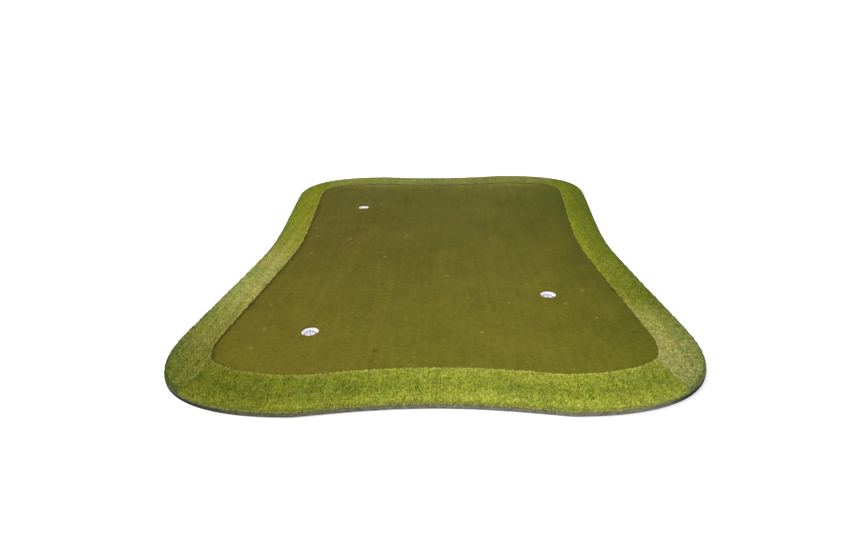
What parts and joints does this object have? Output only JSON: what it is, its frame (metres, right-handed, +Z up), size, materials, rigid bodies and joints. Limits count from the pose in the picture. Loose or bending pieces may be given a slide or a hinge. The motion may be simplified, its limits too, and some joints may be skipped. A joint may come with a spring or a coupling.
{
  "type": "practice putting mat",
  "caption": "Hourglass practice putting mat: short putting turf with sunken white cups, longer mitred fringe turf, black rubber edging and interlocking foam base tiles.",
  "frame": {"origin": "on the floor, under the middle of the mat", "axes": "+X across the width to the right, +Y along the length, away from the end with the nearer pair of cups, +Z up"},
  "size_m": [3.048, 4.267, 0.045],
  "materials": {
    "base_foam": "matt closed-cell foam with a fine moulded grain",
    "edging_rubber": "satin extruded rubber with a sloped shoulder that catches light",
    "seam_tape": "woven black seaming tape",
    "putting_turf": "short dense curled nylon pile, olive green, low sheen",
    "fringe_turf": "long straight polyethylene pile, yellow green with paler blades, directional nap",
    "cup_plastic": "white moulded plastic with a soft gloss"
  },
  "bodies": {
    "mat": {"base_tile_c1_r1": "base_foam", "base_tile_c1_r2": "base_foam", "base_tile_c1_r3": "base_foam", "base_tile_c1_r4": "base_foam", "base_tile_c1_r5": "base_foam", "base_tile_c1_r6": "base_foam", "base_tile_c1_r7": "base_foam", "base_tile_c2_r1": "base_foam", "base_tile_c2_r2": "base_foam", "base_tile_c2_r3": "base_foam", "base_tile_c2_r4": "base_foam", "base_tile_c2_r5": "base_foam", "base_tile_c2_r6": "base_foam", "base_tile_c2_r7": "base_foam", "base_tile_c2_r8": "base_foam", "base_tile_c3_r1": "base_foam", "base_tile_c3_r2": "base_foam", "base_tile_c3_r3": "base_foam", "base_tile_c3_r4": "base_foam", "base_tile_c3_r5": "base_foam", "base_tile_c3_r6": "base_foam", "base_tile_c3_r7": "base_foam", "base_tile_c4_r1": "base_foam", "base_tile_c4_r2": "base_foam", "base_tile_c4_r3": "base_foam", "base_tile_c4_r4": "base_foam", "base_tile_c4_r5": "base_foam", "base_tile_c4_r6": "base_foam", "base_tile_c4_r7": "base_foam", "base_tile_c4_r8": "base_foam", "base_tile_c5_r1": "base_foam", "base_tile_c5_r2": "base_foam", "base_tile_c5_r3": "base_foam", "base_tile_c5_r4": "base_foam", "base_tile_c5_r5": "base_foam", "base_tile_c5_r6": "base_foam", "base_tile_c5_r7": "base_foam", "edging_back": "edging_rubber", "edging_front": "edging_rubber", "edging_left": "edging_rubber", "edging_right": "edging_rubber", "fringe_back": "fringe_turf", "fringe_front": "fringe_turf", "fringe_left": "fringe_turf", "fringe_right": "fringe_turf", "putting_turf": "putting_turf", "seam_tape_back": "seam_tape", "seam_tape_front": "seam_tape", "seam_tape_left": "seam_tape", "seam_tape_right": "seam_tape"},
    "cup_front_left_liner": {"cup_front_left": "cup_plastic"},
    "cup_front_right_liner": {"cup_front_right": "cup_plastic"},
    "cup_back_left_liner": {"cup_back_left": "cup_plastic"}
  },
  "joints": [
    {"name": "cup_front_left_lift", "type": "slide", "parent": "mat", "child": "cup_front_left_liner", "axis": [0, 0, 1], "range_m": [0, 0.06]},
    {"name": "cup_front_right_lift", "type": "slide", "parent": "mat", "child": "cup_front_right_liner", "axis": [0, 0, 1], "range_m": [0, 0.06]},
    {"name": "cup_back_left_lift", "type": "slide", "parent": "mat", "child": "cup_back_left_liner", "axis": [0, 0, 1], "range_m": [0, 0.06]}
  ]
}
